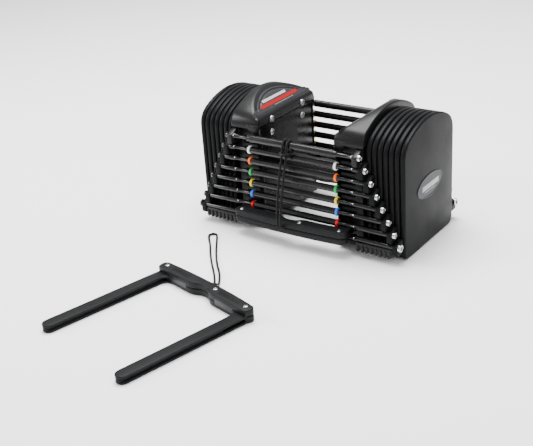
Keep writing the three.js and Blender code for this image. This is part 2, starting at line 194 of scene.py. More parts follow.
fitted_route = [
    (-5.7, -95.5, 27.7), (-5.7, -101, 27.7), (-6, -105.4, 29.6), (-6.6, -107.3, 35), (-7.4, -105.6, 50),
    (-8.2, -98.5, 80), (-8.6, -90, 108), (-8.7, -85.2, 122), (-8.6, -83.7, 131.5),
    (-8.7, -79.9, 137), (-8.9, -74.2, 137.2), (-9.6, -70, 131), (-11, -71.8, 125.3), (-12, -76.8, 123.1),
    (-11.9, -82.4, 122.4), (-9.9, -87, 122.3), (-5.5, -89, 122.3), (-1.1, -87, 122.3),
    (0.9, -82.4, 122.4), (1, -76.8, 123.1), (0, -71.8, 125.3), (-1.4, -70, 131),
    (-2.1, -74.2, 137.2), (-2.3, -79.9, 137), (-2.4, -83.7, 131.5),
    (-2.3, -85.2, 122), (-2.2, -90, 108), (-2, -98.5, 80), (-2.1, -105.6, 50), (-2.2, -107.3, 35),
    (-2.3, -105.4, 29.6), (-2.3, -101, 27.7), (-2.3, -95.5, 27.7),
]
fitted_cord, fitted_line, fitted_long = lanyard("lanyard", fitted_route, None)
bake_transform(fitted_cord)

spare_route = [
    (-15.3, -240.5, 8.4), (-14.2, -235.5, 8.2), (-14, -229, 5.6), (-16, -223, 2.4), (-21, -215, 1.5),
    (-33, -199, 1.5), (-50, -181, 1.5), (-69, -158, 1.5), (-86, -135, 1.5), (-99.5, -116.5, 1.5),
    (-103.5, -113, 1.5), (-108.4, -113.7, 1.5), (-110.3, -118.3, 1.5), (-108, -123, 1.5),
    (-92, -141, 1.5), (-74, -163.5, 1.5), (-56, -184, 1.5), (-39, -202, 1.5), (-26.5, -217, 1.5),
    (-20.8, -225, 2.4), (-18.4, -230.5, 5.6), (-18.1, -236, 8.2), (-18.6, -240.7, 8.4),
]
spare_cord, spare_line, spare_long = lanyard("spare_lanyard", spare_route, "spare_pin")


# ------------------------------------------------------------------ studio
# A pale floor under large soft lights: one broad from above, one from the left and one from the right.
floor_mesh = bpy.data.meshes.new("floor")
floor_mesh.from_pydata([(-6, -6, 0), (6, -6, 0), (6, 6, 0), (-6, 6, 0)], [], [(0, 1, 2, 3)])
floor = bpy.data.objects.new("floor", floor_mesh)
floor.location.z = -0.3 * MM
bpy.context.scene.collection.objects.link(floor)
floor_material, tree, shader = new_material("studio_floor")
shader.inputs["Base Color"].default_value = (0.95, 0.95, 0.95, 1)
shader.inputs["Roughness"].default_value = 0.9
floor_mesh.materials.append(floor_material)

world = bpy.data.worlds.new("studio")
world.use_nodes = True
world.node_tree.nodes["Background"].inputs["Color"].default_value = (1, 1, 1, 1)
world.node_tree.nodes["Background"].inputs["Strength"].default_value = 0.7
bpy.context.scene.world = world


def softbox(name, place, aim, size, power):
    """A square area light at a point in millimetres, turned to another one."""
    light = bpy.data.lights.new(name, "AREA")
    light.size = size
    light.energy = power
    lamp = bpy.data.objects.new(name, light)
    lamp.location = here(*place)
    lamp.rotation_mode = "QUATERNION"
    lamp.rotation_quaternion = (here(*aim) - lamp.location).to_track_quat("-Z", "Y")
    bpy.context.scene.collection.objects.link(lamp)


softbox("softbox_above", (-200, 200, 1700), (0, 0, 60), 1.2, 95)
softbox("softbox_left", (-1500, -900, 900), (0, 0, 80), 0.7, 26)
softbox("softbox_right", (1500, -700, 1100), (150, 0, 80), 0.7, 10)


# ------------------------------------------------------------------ weight plates
# Steel plates dipped in dark grey urethane, with soft round edges. Each plate carries two welded ears,
# which stand out past its front and rear edges and take the rail's cap screws.
lift_pairs = range(1, 8)
arch_centre = 62


def grain_group():
    """The skin of a dipped or moulded piece: a fine grain, cloudy gloss, and a little pale dust."""
    group = bpy.data.node_groups.new("grain", "ShaderNodeTree")
    for name, kind in (("Colour", "NodeSocketColor"), ("Dust", "NodeSocketColor"),
                       ("Dust share", "NodeSocketFloat"), ("Scale", "NodeSocketFloat"),
                       ("Gloss low", "NodeSocketFloat"), ("Gloss high", "NodeSocketFloat")):
        group.interface.new_socket(name=name, in_out="INPUT", socket_type=kind)
    for name, kind in (("Colour", "NodeSocketColor"), ("Roughness", "NodeSocketFloat"),
                       ("Height", "NodeSocketFloat")):
        group.interface.new_socket(name=name, in_out="OUTPUT", socket_type=kind)
    nodes, links = group.nodes, group.links
    inside, outside = nodes.new("NodeGroupInput"), nodes.new("NodeGroupOutput")
    place = nodes.new("ShaderNodeTexCoord")
    fine, cloud = nodes.new("ShaderNodeTexNoise"), nodes.new("ShaderNodeTexNoise")
    cloud.inputs["Scale"].default_value = 28
    cloud.inputs["Detail"].default_value = 4
    fine.inputs["Detail"].default_value = 3
    fine.inputs["Roughness"].default_value = 0.6
    links.new(inside.outputs["Scale"], fine.inputs["Scale"])
    for noise in (fine, cloud):
        links.new(place.outputs["Object"], noise.inputs["Vector"])
    gloss = nodes.new("ShaderNodeMapRange")
    gloss.inputs["From Min"].default_value = 0.3
    gloss.inputs["From Max"].default_value = 0.7
    links.new(cloud.outputs["Fac"], gloss.inputs["Value"])
    links.new(inside.outputs["Gloss low"], gloss.inputs["To Min"])
    links.new(inside.outputs["Gloss high"], gloss.inputs["To Max"])
    speck = nodes.new("ShaderNodeMath")
    speck.operation = "MULTIPLY"
    share = nodes.new("ShaderNodeMath")
    share.operation = "MULTIPLY"
    mix = nodes.new("ShaderNodeMix")
    mix.data_type = "RGBA"
    links.new(fine.outputs["Fac"], speck.inputs[0])
    links.new(cloud.outputs["Fac"], speck.inputs[1])
    links.new(speck.outputs[0], share.inputs[0])
    links.new(inside.outputs["Dust share"], share.inputs[1])
    links.new(share.outputs[0], mix.inputs["Factor"])
    links.new(inside.outputs["Colour"], mix.inputs["A"])
    links.new(inside.outputs["Dust"], mix.inputs["B"])
    links.new(mix.outputs["Result"], outside.inputs["Colour"])
    links.new(gloss.outputs["Result"], outside.inputs["Roughness"])
    links.new(fine.outputs["Fac"], outside.inputs["Height"])
    return group


grain = grain_group()


def grained(name, colour, gloss, scale, depth, dust=0.12, shine=0.2):
    """A material whose colour, gloss and fine relief come from the grain group."""
    material, tree, shader = new_material(name)
    skin = tree.nodes.new("ShaderNodeGroup")
    skin.node_tree = grain
    pale = [c * 0.8 + 0.02 for c in colour]
    for socket, value in (("Colour", (*colour, 1)), ("Dust", (*pale, 1)), ("Dust share", dust),
                          ("Scale", scale), ("Gloss low", gloss[0]), ("Gloss high", gloss[1])):
        skin.inputs[socket].default_value = value
    bump = tree.nodes.new("ShaderNodeBump")
    bump.inputs["Strength"].default_value = 0.35
    bump.inputs["Distance"].default_value = depth * MM
    tree.links.new(skin.outputs["Colour"], shader.inputs["Base Color"])
    tree.links.new(skin.outputs["Roughness"], shader.inputs["Roughness"])
    tree.links.new(skin.outputs["Height"], bump.inputs["Height"])
    tree.links.new(bump.outputs["Normal"], shader.inputs["Normal"])
    shader.inputs["Specular IOR Level"].default_value = shine
    return material


def loft(mesh, rings):
    """Joins rings of equally many points with faces, and closes both ends."""
    rows = [[mesh.verts.new(p) for p in ring] for ring in rings]
    for low, high in zip(rows, rows[1:]):
        for k in range(len(low)):
            n = (k + 1) % len(low)
            mesh.faces.new((low[k], low[n], high[n], high[k]))
    mesh.faces.new(list(reversed(rows[0])))
    mesh.faces.new(rows[-1])


def piece(name, mesh, material, body, stands_for=(), sharp=40):
    """Makes the object of a bmesh, smooth except at its sharp edges, gives it its body and hides the CAD
    parts it stands for.
    """
    bmesh.ops.remove_doubles(mesh, verts=mesh.verts, dist=1e-6)
    bmesh.ops.recalc_face_normals(mesh, faces=mesh.faces)
    data = bpy.data.meshes.new(name)
    mesh.to_mesh(data)
    mesh.free()
    for face in data.polygons:
        face.use_smooth = True
    data.set_sharp_from_angle(angle=math.radians(sharp))
    data.materials.append(material)
    made = bpy.data.objects.new(name, data)
    bpy.context.scene.collection.objects.link(made)
    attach(made, body)
    if stands_for:
        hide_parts(*stands_for)
    return made


def arch_ring(inset, half, bottom, corner, arch, shoulder, fine=6):
    """A plate's or a hood's outline, drawn in by an inset, as (y, z) points: flat foot, upright
    sides and arched top. Both arches have the same centre."""
    half, bottom = half - inset, bottom + inset
    corner, arch, shoulder = max(corner - inset, 0.01), arch - inset, shoulder - inset
    y = half - shoulder
    z = arch_centre + math.sqrt((arch - shoulder) ** 2 - y ** 2)
    lean = math.atan2(z - arch_centre, y)
    points = []
    for cy, cz, radius, start, end, steps in (
            (half - corner, bottom + corner, corner, -math.pi / 2, 0, fine),
            (y, z, shoulder, 0, lean, fine),
            (0, arch_centre, arch, lean, math.pi - lean, 5 * fine),
            (-y, z, shoulder, math.pi - lean, math.pi, fine),
            (corner - half, bottom + corner, corner, math.pi, 1.5 * math.pi, fine)):
        for k in range(steps + 1):
            angle = start + (end - start) * k / steps
            points.append((cy + radius * math.cos(angle), cz + radius * math.sin(angle)))
    return [p for k, p in enumerate(points)
            if (Vector(p) - Vector(points[k - 1])).length > 1e-3]


def round_steps(low, high, radius, steps=4):
    """(position, inset) pairs across a thickness, with a quarter round at each edge."""
    first = [(low + radius * (1 - math.cos(a)), radius * (1 - math.sin(a)))
             for a in (math.pi / 2 * k / steps for k in range(steps + 1))]
    return first + [(high + low - x, inset) for x, inset in reversed(first)]


def block(mesh, low, high, radius, segments=3):
    """A box with rounded edges, between two corners in millimetres."""
    part = bmesh.new()
    bmesh.ops.create_cube(part, size=1)
    for vert in part.verts:
        vert.co = here(*[low[k] + (vert.co[k] + 0.5) * (high[k] - low[k]) for k in range(3)])
    bmesh.ops.bevel(part, geom=list(part.edges), offset=radius * MM, segments=segments,
                    profile=0.5, affect="EDGES")
    add_part(mesh, part)


def add_part(mesh, part):
    """Moves one bmesh's faces into another."""
    data = bpy.data.meshes.new("part")
    part.to_mesh(data)
    part.free()
    mesh.from_mesh(data)
    bpy.data.meshes.remove(data)


def prism(mesh, outline, axis, low, high, radius, segments=3):
    """An outline in the plane across an axis, given a thickness and rounded edges."""
    order = {"x": lambda a, b, c: (c, a, b), "y": lambda a, b, c: (a, c, b),
             "z": lambda a, b, c: (a, b, c)}
    part = bmesh.new()
    rings = [[part.verts.new(here(*order[axis](a, b, c))) for a, b in outline] for c in (low, high)]
    for k in range(len(outline)):
        n = (k + 1) % len(outline)
        part.faces.new((rings[0][k], rings[0][n], rings[1][n], rings[1][k]))
    part.faces.new(list(reversed(rings[0])))
    part.faces.new(rings[1])
    bmesh.ops.recalc_face_normals(part, faces=part.faces)
    if radius:
        edges = [e for e in part.edges if e.calc_face_angle(0) > math.radians(25)]
        bmesh.ops.bevel(part, geom=edges, offset=radius * MM, segments=segments,
                        profile=0.5, affect="EDGES", clamp_overlap=True)
    add_part(mesh, part)


urethane = grained("plate_urethane", (0.005, 0.0052, 0.0057), (0.32, 0.44), 900, 0.12, dust=0.08, shine=0.06)
plate_thick, plate_half, plate_round = 6.5, 66, 2.3
plate_corner, plate_arch, plate_shoulder = 11, 106, 25
lowest_rail_z, rail_pitch, half_length, plate_pitch = 23.5, 15.32, 153, 7.65
rail_y, ear_reach, ear_foot, ear_root = 76.8, 82, -11.2, 66.4
level_z = {k: lowest_rail_z + rail_pitch * (7 - k) for k in range(8)}
bolt_face = {k: half_length - plate_pitch * (7 - k) for k in range(8)}
body_of = {0: "core", **{k: f"pair_{k}" for k in range(1, 7)}, 7: "outer_pair"}


def ears(mesh, k, side, root):
    """The front and rear ears of one plate, with their sloping tops, and the webs that hold them."""
    z, outer = level_z[k], bolt_face[k] - 3.4
    x = sorted((side * (outer - 7), side * outer))
    tie = sorted((side * root, side * outer))
    for front in (-1, 1):
        outline = [(front * a, z + b) for a, b in (
            (ear_reach, -9.2), (ear_reach - 2, ear_foot), (ear_root, ear_foot), (ear_root, 7.6),
            (69, 7.6), (ear_reach - 1.2, 2.2), (ear_reach, 0.6))]
        prism(mesh, outline, "x", *x, 0.8, 2)
        y = sorted((front * 60, front * 68))
        block(mesh, (tie[0], y[0], z - 10.8), (tie[1], y[1], z + 6.6), 0.4, 1)


for k in lift_pairs:
    for side, word in ((-1, "left"), (1, "right")):
        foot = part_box(f"plate_{k}_{word}")[0].z / MM
        outer = bolt_face[k] - 1
        inner = outer - plate_thick
        mesh = bmesh.new()
        loft(mesh, [[here(side * x, y, z) for y, z in arch_ring(inset, plate_half, foot, plate_corner,
                                                                plate_arch, plate_shoulder)]
                    for x, inset in round_steps(inner, outer, plate_round)])
        ears(mesh, k, side, inner + 1)
        piece(f"plate_{k}_{word}_shell", mesh, urethane, body_of[k],
              [f"plate_{k}_{word}"])


# ------------------------------------------------------------------ rails
# Black steel bars that join the two plates of a pair. A thick sleeve spans the hand opening; the bar
# is thin where the pin's prongs pass, has a stop with a small dowel, then flattens towards the ear.
rail_black = grained("rail_black", (0.004, 0.004, 0.0043), (0.16, 0.28), 1400, 0.05, dust=0.1, shine=0.35)


def turned(mesh, stations, centre, sides=28, flat=None):
    """A turned bar along X from (position, radius) stations. flat gives a station's height and depth
    shares of its radius."""
    rings = []
    for x, radius in stations:
        tall, deep = flat(x) if flat else (1, 1)
        rings.append([here(centre[0] + x, centre[1] + radius * deep * math.cos(a),
                           centre[2] + radius * tall * math.sin(a))
                      for a in (2 * math.pi * i / sides for i in range(sides))])
    loft(mesh, rings)


def both_ends(half):
    """The stations of one end of a bar, with the same ones mirrored before them for its other end."""
    return [(-x, r) for x, r in reversed(half)] + half


def dome(mesh, centre, radius, height, axis, sides=20, steps=4):
    """A low round head standing on a face along an axis."""
    axis = Vector(axis).normalized()
    across = axis.orthogonal().normalized()
    other = axis.cross(across)
    rings = []
    for k in range(steps + 1):
        angle = math.pi / 2 * k / steps
        r, h = radius * max(math.cos(angle), 0.02), height * math.sin(angle)
        circle = (2 * math.pi * i / sides for i in range(sides))
        rings.append([here(*centre) + (axis * h + (across * math.cos(a) + other * math.sin(a)) * r) * MM
                      for a in circle])
    base = [p - axis * MM for p in rings[0]]
    loft(mesh, [base, *rings])


def flattened(x):
    """Past the stop the bar is pressed a little flatter and deeper towards the ear."""
    share = min(max((abs(x) - 92) / 10, 0), 1)
    return 1 - 0.04 * share, 1 + 0.25 * share


core_sleeve, pair_sleeve, neck_radius = 4.9, 4.4, 2.5
for k in range(8):
    for front, word in ((-1, "front"), (1, "rear")):
        sleeve = core_sleeve if k == 0 else pair_sleeve
        ear = bolt_face[k] - 10.4
        stop = min(87, ear - 3)
        half = [(61.6, sleeve), (62, sleeve - 0.4), (62.6, sleeve - 0.5), (66, sleeve - 0.5),
                (66.4, sleeve - 0.9), (67, 3.0), (67.6, neck_radius), (stop - 1.2, neck_radius),
                (stop - 0.4, 2.8), (stop, 3.2), (stop + 2, 3.55), (ear - 1.5, 3.5), (ear - 0.3, 3.2),
                (ear - 0.3, 2.2), (ear + 7.2, 2.2)]
        mesh = bmesh.new()
        turned(mesh, both_ends(half), (0, front * rail_y, level_z[k]),
               flat=flattened if ear > 95 else None)
        name = f"rail_{k}_{word}" if k else f"core_rail_{word}"
        piece(name + "_bar", mesh, rail_black, body_of[k], [name])


# ------------------------------------------------------------------ colour bands
# Plastic rings pressed into a groove at each end of a rail's sleeve. Each pair has its own colour,
# which tells the user which pairs the pin takes. The core's own rails have none.
band_colours = {1: ("white", (0.86, 0.87, 0.88)), 2: ("orange", (0.85, 0.13, 0.0)),
                3: ("green", (0.0, 0.36, 0.07)), 4: ("yellow", (0.85, 0.62, 0.0)),
                5: ("blue", (0.02, 0.15, 0.75)), 6: ("red", (0.62, 0.0, 0.003)),
                7: ("white", (0.86, 0.87, 0.88))}
band_finish = {word: grained("band_" + word, colour, (0.3, 0.4), 1200, 0.03, dust=0.03)
               for word, colour in set(band_colours.values())}
band_at = 64.2
band_line = [(-1.5, 4.0), (-1.5, 4.7), (-1.1, 5.15), (0, 5.3), (1.1, 5.15), (1.5, 4.7), (1.5, 4.0)]
for k in lift_pairs:
    word = band_colours[k][0]
    mesh = bmesh.new()
    for front in (-1, 1):
        for side in (-1, 1):
            turned(mesh, band_line, (side * band_at, front * rail_y, level_z[k]))
    piece(f"band_{k}_{word}", mesh, band_finish[word], body_of[k])


# ------------------------------------------------------------------ dowels and cap screws
# A bright dowel keys each stop to its rail, and a hex socket cap screw goes through each ear into the
# rail's end. The right-hand screws are bright steel; the left-hand ones get the dark rail finish as painted
# shade, standing for the ears' shadow on them; the outer pair's are a size larger.
def steel(name, colour, rough):
    """Bright metal with fine turning marks."""
    material, tree, shader = new_material(name)
    shader.inputs["Metallic"].default_value = 1
    skin = tree.nodes.new("ShaderNodeGroup")
    skin.node_tree = grain
    for socket, value in (("Colour", (*colour, 1)), ("Dust", (*[c * 0.7 for c in colour], 1)),
                          ("Dust share", 0.4), ("Scale", 700), ("Gloss low", rough * 0.7),
                          ("Gloss high", rough * 1.3)):
        skin.inputs[socket].default_value = value
    tree.links.new(skin.outputs["Colour"], shader.inputs["Base Color"])
    tree.links.new(skin.outputs["Roughness"], shader.inputs["Roughness"])
    return material


chrome = steel("screw_chrome", (0.6, 0.595, 0.59), 0.22)


def cap_screw(mesh, centre, side, radius, deep):
    """A cap screw's head with a rounded rim and a six-sided socket, facing along +X or -X."""
    angles = [2 * math.pi * i / 24 for i in range(24)]
    sixth = math.pi / 3
    hexagon = [0.5 / math.cos(a - sixth * round(a / sixth)) for a in angles]
    head = ((-deep, 0.96), (-deep, 1), (-0.7, 1), (-0.2, 0.93), (0, 0.8))
    profile = [(x, [share] * 24) for x, share in head]
    profile += [(x, [h * share for h in hexagon]) for x, share in ((0, 1.08), (-0.25, 1), (-2.2, 0.96))]
    loft(mesh, [[here(centre[0] + side * x, centre[1] + radius * r * math.cos(a),
                      centre[2] + radius * r * math.sin(a)) for r, a in zip(row, angles)]
                for x, row in profile])


head_radius, outer_head_radius, head_deep = 4.1, 4.9, 3.3
for k in range(8):
    bright, black = bmesh.new(), bmesh.new()
    radius = outer_head_radius if k == 7 else head_radius
    stop = min(88, bolt_face[k] - 12.2)
    for front in (-1, 1):
        for side, mesh in ((-1, black), (1, bright)):
            cap_screw(mesh, (side * bolt_face[k], front * rail_y, level_z[k]), side, radius,
                      head_deep)
            dome(bright, (side * stop, front * (rail_y + 2.6), level_z[k] + 1.6), 1.0, 0.8,
                 (0, front * 0.8, 0.6))
    body = body_of[k]
    piece(f"bright_screws_{body}", bright, chrome, body, sharp=30)
    # painted shade: the left-hand heads take the dark rail finish to stand for the ears' shadow on them
    piece(f"shade_dark_screws_{body}", black, rail_black, body, sharp=30)


# ------------------------------------------------------------------ ribbed guides on the lowest rails
# Black moulded blocks under the outer stretches of the outer pair's rails. Their ribs guide the
# dumbbell into its stand, and each has a row of ribs down the face and under the foot.
guide_plastic = grained("guide_plastic", (0.005, 0.005, 0.0054), (0.3, 0.42), 900, 0.1, dust=0.12)
guide_from, guide_to, rib_count = 91, 142, 8
mesh = bmesh.new()
for front in (-1, 1):
    for side in (-1, 1):
        x = sorted((side * guide_from, side * guide_to))
        y = sorted((front * (rail_y - 4.2), front * (rail_y + 4.2)))
        block(mesh, (x[0], y[0], 10), (x[1], y[1], 20.5), 1.2)
        pitch = (guide_to - guide_from) / rib_count
        for i in range(rib_count):
            at = side * (guide_from + (i + 0.5) * pitch)
            y = sorted((front * rail_y, front * (rail_y + 5.8)))
            block(mesh, (at - 1.8, y[0], 8.4), (at + 1.8, y[1], 17.5), 1.2)
piece("ribbed_guides", mesh, guide_plastic, "outer_pair")


# ------------------------------------------------------------------ slotted columns of the core
# Black steel. Each column's slots let the pin's prongs in under any rail, and its ears take the
# core's own rails. Its inner side is hidden behind the gloss panel.
frame_black = grained("frame_black", (0.006, 0.006, 0.0065), (0.34, 0.48), 900, 0.08, dust=0.18)
slot_tall, spine, column_in, column_out, column_foot = 10.3, 82.5, 60.5, 92.5, 6
comb = [(column_out, 141), (66.5, 141), (66.5, 131), (column_in, 131)]
for k in range(8):
    middle = level_z[k] - rail_pitch / 2
    comb += [(column_in, middle + slot_tall / 2), (spine, middle + slot_tall / 2),
             (spine, middle - slot_tall / 2), (column_in, middle - slot_tall / 2)]
comb += [(column_in, column_foot), (column_out, column_foot)]
for side, word in ((-1, "left"), (1, "right")):
    mesh = bmesh.new()
    prism(mesh, [(side * x, z) for x, z in comb], "y", -63, 63, 0.5, 2)
    ears(mesh, 0, side, column_out - 6)
    piece(f"core_column_{word}_slotted", mesh, frame_black, "core", [f"core_column_{word}"])


# ------------------------------------------------------------------ moulded hoods
# Satin charcoal plastic caps over the columns. Each has an arched back that matches the plates, a
# sloping face for the badge, and a short skirt at the front and rear.
hood_plastic = grained("hood_plastic", (0.005, 0.0051, 0.0056), (0.26, 0.4), 1000, 0.08, dust=0.1)
hood_in, hood_out, hood_half, slope_foot, slope_angle = 56, 98, 69.5, 151, math.atan(0.7)
hood_low, hood_arch, hood_shoulder, inner_round, outer_round = 141.6, 113.5, 22, 4, 2
cheek_in, cheek_low, lip_half, skirt_top = 61.6, 131.3, 62, 145


def slope_point(side, y, along, off):
    """A point on the badge slope: y, the way up the slope from its lower edge, and the height off it."""
    return here(side * (hood_in + along * math.cos(slope_angle) - off * math.sin(slope_angle)), y,
                slope_foot + along * math.sin(slope_angle) + off * math.cos(slope_angle))


def slope_ring(side, inset, off):
    """The slope's D-shaped outline, drawn in by an inset, at a height off the slope."""
    rise = math.sin(slope_angle)
    foot = slope_foot + inset * rise
    whole = arch_ring(inset, hood_half, 120, 0.01, hood_arch, hood_shoulder, 10)
    arc = [(y, z) for y, z in whole if z > foot + 0.4]
    half = max(y for y, _ in whole)
    corner = min(6, half)
    floor_line = [(half - corner * (1 - math.cos(a)), inset + corner * (1 - math.sin(a)) * 0.8)
                  for a in (math.pi / 2 * i / 5 for i in range(6))]
    line = [(-y, t) for y, t in floor_line] + list(reversed(floor_line))
    return [slope_point(side, y, t, off) for y, t in line], \
        [slope_point(side, y, (z - slope_foot) / rise, off) for y, z in arc if z > foot + corner * rise]


for side, word in ((-1, "left"), (1, "right")):
    mesh, shell = bmesh.new(), bmesh.new()
    stations = [(hood_in + inner_round * (1 - math.cos(a)), inner_round * (1 - math.sin(a)))
                for a in (math.pi / 2 * i / 6 for i in range(7))]
    stations += [(hood_out - outer_round + outer_round * math.sin(a), outer_round * (1 - math.cos(a)))
                 for a in (math.pi / 2 * i / 4 for i in range(5))]
    loft(shell, [[here(side * x, y, z) for y, z in arch_ring(inset, hood_half, hood_low - inset, 0.01,
                                                             hood_arch, hood_shoulder, 9)]
                 for x, inset in stations])
    bmesh.ops.remove_doubles(shell, verts=shell.verts, dist=1e-6)
    bmesh.ops.recalc_face_normals(shell, faces=shell.faces)
    upward = slope_point(side, 0, 0, 1) - slope_point(side, 0, 0, 0)
    cut = bmesh.ops.bisect_plane(shell, geom=[*shell.verts, *shell.edges, *shell.faces], dist=1e-7,
                                 plane_co=slope_point(side, 0, 0, 0), plane_no=upward, clear_outer=True)
    rim = [e for e in cut["geom_cut"] if isinstance(e, bmesh.types.BMEdge)]
    bmesh.ops.holes_fill(shell, edges=rim, sides=0)
    bmesh.ops.bevel(shell, geom=[e for e in rim if e.is_valid], offset=2.2 * MM, segments=4,
                    profile=0.5, affect="EDGES")
    add_part(mesh, shell)
    for front in (-1, 1):
        wall = [(57, cheek_in), (66.5, cheek_in), (66.5, hood_half - 0.02), (60, hood_half - 0.02)]
        wall += [(60 - 3.98 * math.sin(a), hood_half - 4 + 3.98 * math.cos(a))
                 for a in (math.pi / 2 * i / 6 for i in range(1, 7))]
        prism(mesh, [(side * x, front * y) for x, y in wall], "z", cheek_low, skirt_top, 0.5, 2)
        prism(mesh, [(side * 66, 131.8), (side * 66, skirt_top), (side * 74, skirt_top), (side * 73, 141)],
              "y", *sorted((front * cheek_in, front * (hood_half - 0.04))), 0.5, 2)
    prism(mesh, [(-lip_half, 139.2), (lip_half, 139.2), (lip_half, 141.9), (-lip_half, 141.9)], "x",
          *sorted((side * (hood_in + 0.02), side * 64)), 0.3, 2)
    piece(f"core_hood_{word}_cap", mesh, hood_plastic, "core",
          [f"core_hood_{word}"], sharp=50)


# ------------------------------------------------------------------ hood badges
# Domed resin labels in the slope, with a thin raised rim. The mark on them is a plain one: a short
# pale bar, a longer red bar and a hairline.
badge_resin = grained("badge_resin", (0.022, 0.022, 0.025), (0.2, 0.3), 1500, 0.02, dust=0.1, shine=0.3)
mark_pale = grained("mark_pale", (0.38, 0.38, 0.39), (0.3, 0.4), 1500, 0.02, dust=0.05)
mark_red = grained("mark_red", (0.26, 0.001, 0.003), (0.3, 0.4), 1500, 0.02, dust=0.05)


def slope_bar(mesh, side, y_from, y_to, low, high, off, thick):
    """A slanted bar with a bevelled top, lying on the slope."""
    lean = (high - low) * 0.25
    rings = []
    for inset, lift in ((0, -0.3), (0, thick - 0.12), (0.12, thick)):
        rings.append([slope_point(side, y, t, off + lift) for y, t in (
            (y_from + inset, low + inset), (y_to - inset, low + inset),
            (y_to + lean - inset, high - inset), (y_from + lean + inset, high - inset))])
    loft(mesh, rings)


badge_line = ((4.2, -1.5), (4.2, 0.1), (4.5, 0.5), (5.3, 0.6), (5.8, -0.1), (6.6, -0.1), (7, 0.3),
              (9, 0.35))
steps, badge_face = 96, 0.35
for side, word in ((-1, "left"), (1, "right")):
    mesh = bmesh.new()
    rings = []
    for inset, off in badge_line:
        foot_part, arc_part = slope_ring(side, inset, off)
        rings.append(foot_part + arc_part)
    even = []
    for ring in rings:
        lengths = [0.0]
        for a, b in zip(ring, ring[1:] + ring[:1]):
            lengths.append(lengths[-1] + (b - a).length)
        row, at = [], 0
        for k in range(steps):
            want = lengths[-1] * k / steps
            while lengths[at + 1] < want:
                at += 1
            share = (want - lengths[at]) / (lengths[at + 1] - lengths[at])
            row.append(ring[at].lerp(ring[(at + 1) % len(ring)], share))
        even.append(row)
    loft(mesh, even)
    piece(f"core_badge_{word}_label", mesh, badge_resin, "core",
          [f"core_badge_{word}"], sharp=35)
    pale, red = bmesh.new(), bmesh.new()
    for bar, y_from, y_to, low, high, thick in (
            (pale, -31, 22, 19.5, 23.5, 0.25), (red, -42, 41, 12, 17.3, 0.25),
            (pale, -16, 27, 9.9, 10.3, 0.2)):
        slope_bar(bar, side, *sorted((-side * y_from, -side * y_to)), low, high, badge_face, thick)
    piece(f"core_mark_pale_{word}", pale, mark_pale, "core")
    piece(f"core_mark_red_{word}", red, mark_red, "core")


# ------------------------------------------------------------------ inner panels
# Gloss black wall panels that close the core's inner side, each between two raised side rims. They
# are held by button head screws, and the hood's lower edge by two more on each side.
gloss_black = grained("gloss_black", (0.003, 0.003, 0.0035), (0.22, 0.34), 1200, 0.02, dust=0.08, shine=0.12)
panel_in, panel_out, panel_half, panel_foot, panel_top = 57, 60.2, 61.2, 6, 138.9
rim_in, rim_round = 60.7, 3.8
for side, word in ((-1, "left"), (1, "right")):
    mesh = bmesh.new()
    x = sorted((side * panel_in, side * panel_out))
    block(mesh, [x[0], -panel_half, panel_foot], [x[1], panel_half, panel_top], 0.6)
    for front in (-1, 1):
        rim = [(panel_out, rim_in), (panel_out, 66)]
        rim += [(59.8 - rim_round * math.sin(a), 62.2 + rim_round * math.cos(a))
                for a in (math.pi / 2 * i / 5 for i in range(6))]
        rim += [(56, rim_in)]
        prism(mesh, [(side * x, front * y) for x, y in rim], "z", panel_foot, 131, 0.4, 2)
    piece(f"core_panel_{word}_wall", mesh, gloss_black, "core", [f"core_panel_{word}"])

zinc = steel("screw_zinc", (0.42, 0.42, 0.43), 0.34)
button = [(1, 4.6), (0, 4.6), (-1, 4.4), (-2, 3.6), (-2.5, 2.7), (-2.4, 2.3), (-0.9, 2.1)]
screw_y, hood_screw_z, panel_screw_z = 36, 145.3, 127.5
mesh = bmesh.new()
for side in (-1, 1):
    for y in (-screw_y, screw_y):
        for x, z in ((hood_in, hood_screw_z), (panel_in, panel_screw_z)):
            loft(mesh, [[here(side * (x + off), y + r * math.cos(a), z + r * math.sin(a))
                         for a in (2 * math.pi * i / 24 for i in range(24))] for off, r in button])
piece("panel_screws", mesh, zinc, "core", sharp=30)


# ------------------------------------------------------------------ handle
# A polished steel tube between the panels, with a dark contoured rubber grip moulded over it.
tube_steel = steel("handle_steel", (0.55, 0.55, 0.56), 0.22)
grip_rubber = grained("grip_rubber", (0.006, 0.006, 0.0065), (0.6, 0.8), 500, 0.4, dust=0.2)
handle_z, tube_radius, grip_radius = 70, 11.7, 15.2
swell, swell_long, groove_pitch, groove_deep = 0.7, 20.8, 6, 0.22
mesh = bmesh.new()
turned(mesh, both_ends([(57.4, tube_radius), (60, tube_radius), (60.2, 11.5)]), (0, 0, handle_z), sides=40)
piece("handle_tube_bar", mesh, tube_steel, "core", ["handle_tube"])
mesh = bmesh.new()
grip_line = [(x, grip_radius + swell * math.cos(math.pi * x / swell_long) * math.exp(-(x / 60) ** 2)
              - (groove_deep if x % groove_pitch > 4.4 else 0)) for x in (0.5 * i for i in range(103))]
turned(mesh, both_ends([*grip_line[1:], (51.6, 15.9), (53, 16.1), (53.8, 15.6), (54, 14.8), (54, 12.2)]),
       (0, 0, handle_z), sides=48)
piece("handle_grip_cover", mesh, grip_rubber, "core", ["handle_grip"], sharp=50)


